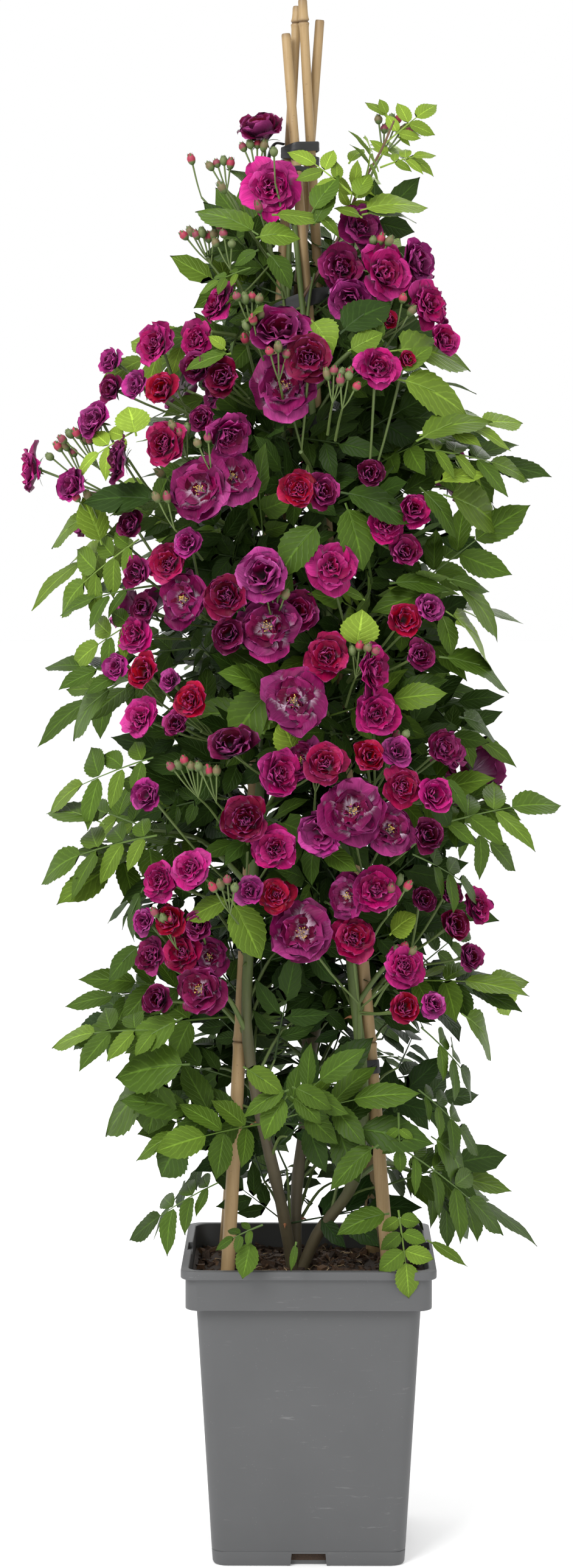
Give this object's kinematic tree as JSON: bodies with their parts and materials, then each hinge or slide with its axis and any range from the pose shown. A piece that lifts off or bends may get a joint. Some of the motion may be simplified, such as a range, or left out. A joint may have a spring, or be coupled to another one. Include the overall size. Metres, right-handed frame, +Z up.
{
  "type": "potted climbing rose",
  "caption": "Climbing rose with small double purple, magenta and crimson blooms and pinnate leaves, tied to bamboo canes in a square grey nursery pot.",
  "frame": {"origin": "middle of the pot's foot, on the surface that it stands on", "axes": "+Z up along the pot's axis, -Y to the front of the plant, +X to its right as seen from the front"},
  "size_m": [0.4673, 0.4341, 1.3843],
  "materials": {
    "grey_plastic": "satin grey moulded plastic with fine scuffs",
    "soil": "loose bark and peat chips",
    "bamboo": "dry split-free bamboo with rings",
    "woody_stem": "green to brown rose bark with thorns",
    "black_strap": "soft black tie",
    "leaf": "living leaf, satin",
    "young_leaf": "young light-green leaf, satin",
    "magenta_petals": "velvety petal",
    "purple_petals": "velvety petal",
    "crimson_petals": "velvety petal",
    "plum_petals": "velvety petal"
  },
  "bodies": {
    "root": {"pot": "grey_plastic", "soil": "soil", "cane_front_left": "bamboo", "cane_front_right": "bamboo", "cane_back_left": "bamboo", "cane_back_right": "bamboo", "main_stems": "woody_stem", "top_tie": "black_strap", "tape_1": "black_strap", "tape_2": "black_strap", "tape_3": "black_strap", "tape_4": "black_strap", "tape_5": "black_strap", "tape_6": "black_strap", "tape_7": "black_strap", "tape_8": "black_strap", "front_spray_1": "magenta_petals", "front_spray_2": "purple_petals", "front_spray_3": "magenta_petals", "front_spray_4": "purple_petals", "front_spray_5": "magenta_petals", "front_spray_6": "crimson_petals", "front_spray_7": "magenta_petals", "front_spray_8": "magenta_petals", "front_spray_9": "crimson_petals", "front_spray_10": "crimson_petals", "front_spray_11": "purple_petals", "front_spray_12": "crimson_petals", "front_spray_13": "magenta_petals", "front_spray_14": "plum_petals", "front_spray_15": "crimson_petals", "front_spray_16": "purple_petals", "front_spray_17": "crimson_petals", "front_spray_18": "plum_petals", "front_spray_19": "purple_petals", "front_spray_20": "magenta_petals", "back_spray_1": "magenta_petals", "back_spray_2": "purple_petals", "back_spray_3": "crimson_petals", "back_spray_4": "magenta_petals", "back_spray_5": "plum_petals", "leafy_stem_1": "leaf", "leafy_stem_2": "leaf", "leafy_stem_3": "leaf", "leafy_stem_4": "leaf", "leafy_stem_5": "leaf", "leafy_stem_6": "leaf", "leafy_stem_7": "leaf", "leafy_stem_8": "leaf", "leafy_stem_9": "leaf", "leafy_stem_10": "leaf", "leafy_stem_11": "leaf", "leafy_stem_12": "leaf", "leafy_stem_13": "leaf", "leafy_stem_14": "leaf", "leafy_stem_15": "leaf", "leafy_stem_16": "leaf", "leafy_stem_17": "leaf", "leafy_stem_18": "leaf", "young_shoot": "young_leaf"}
  },
  "joints": []
}
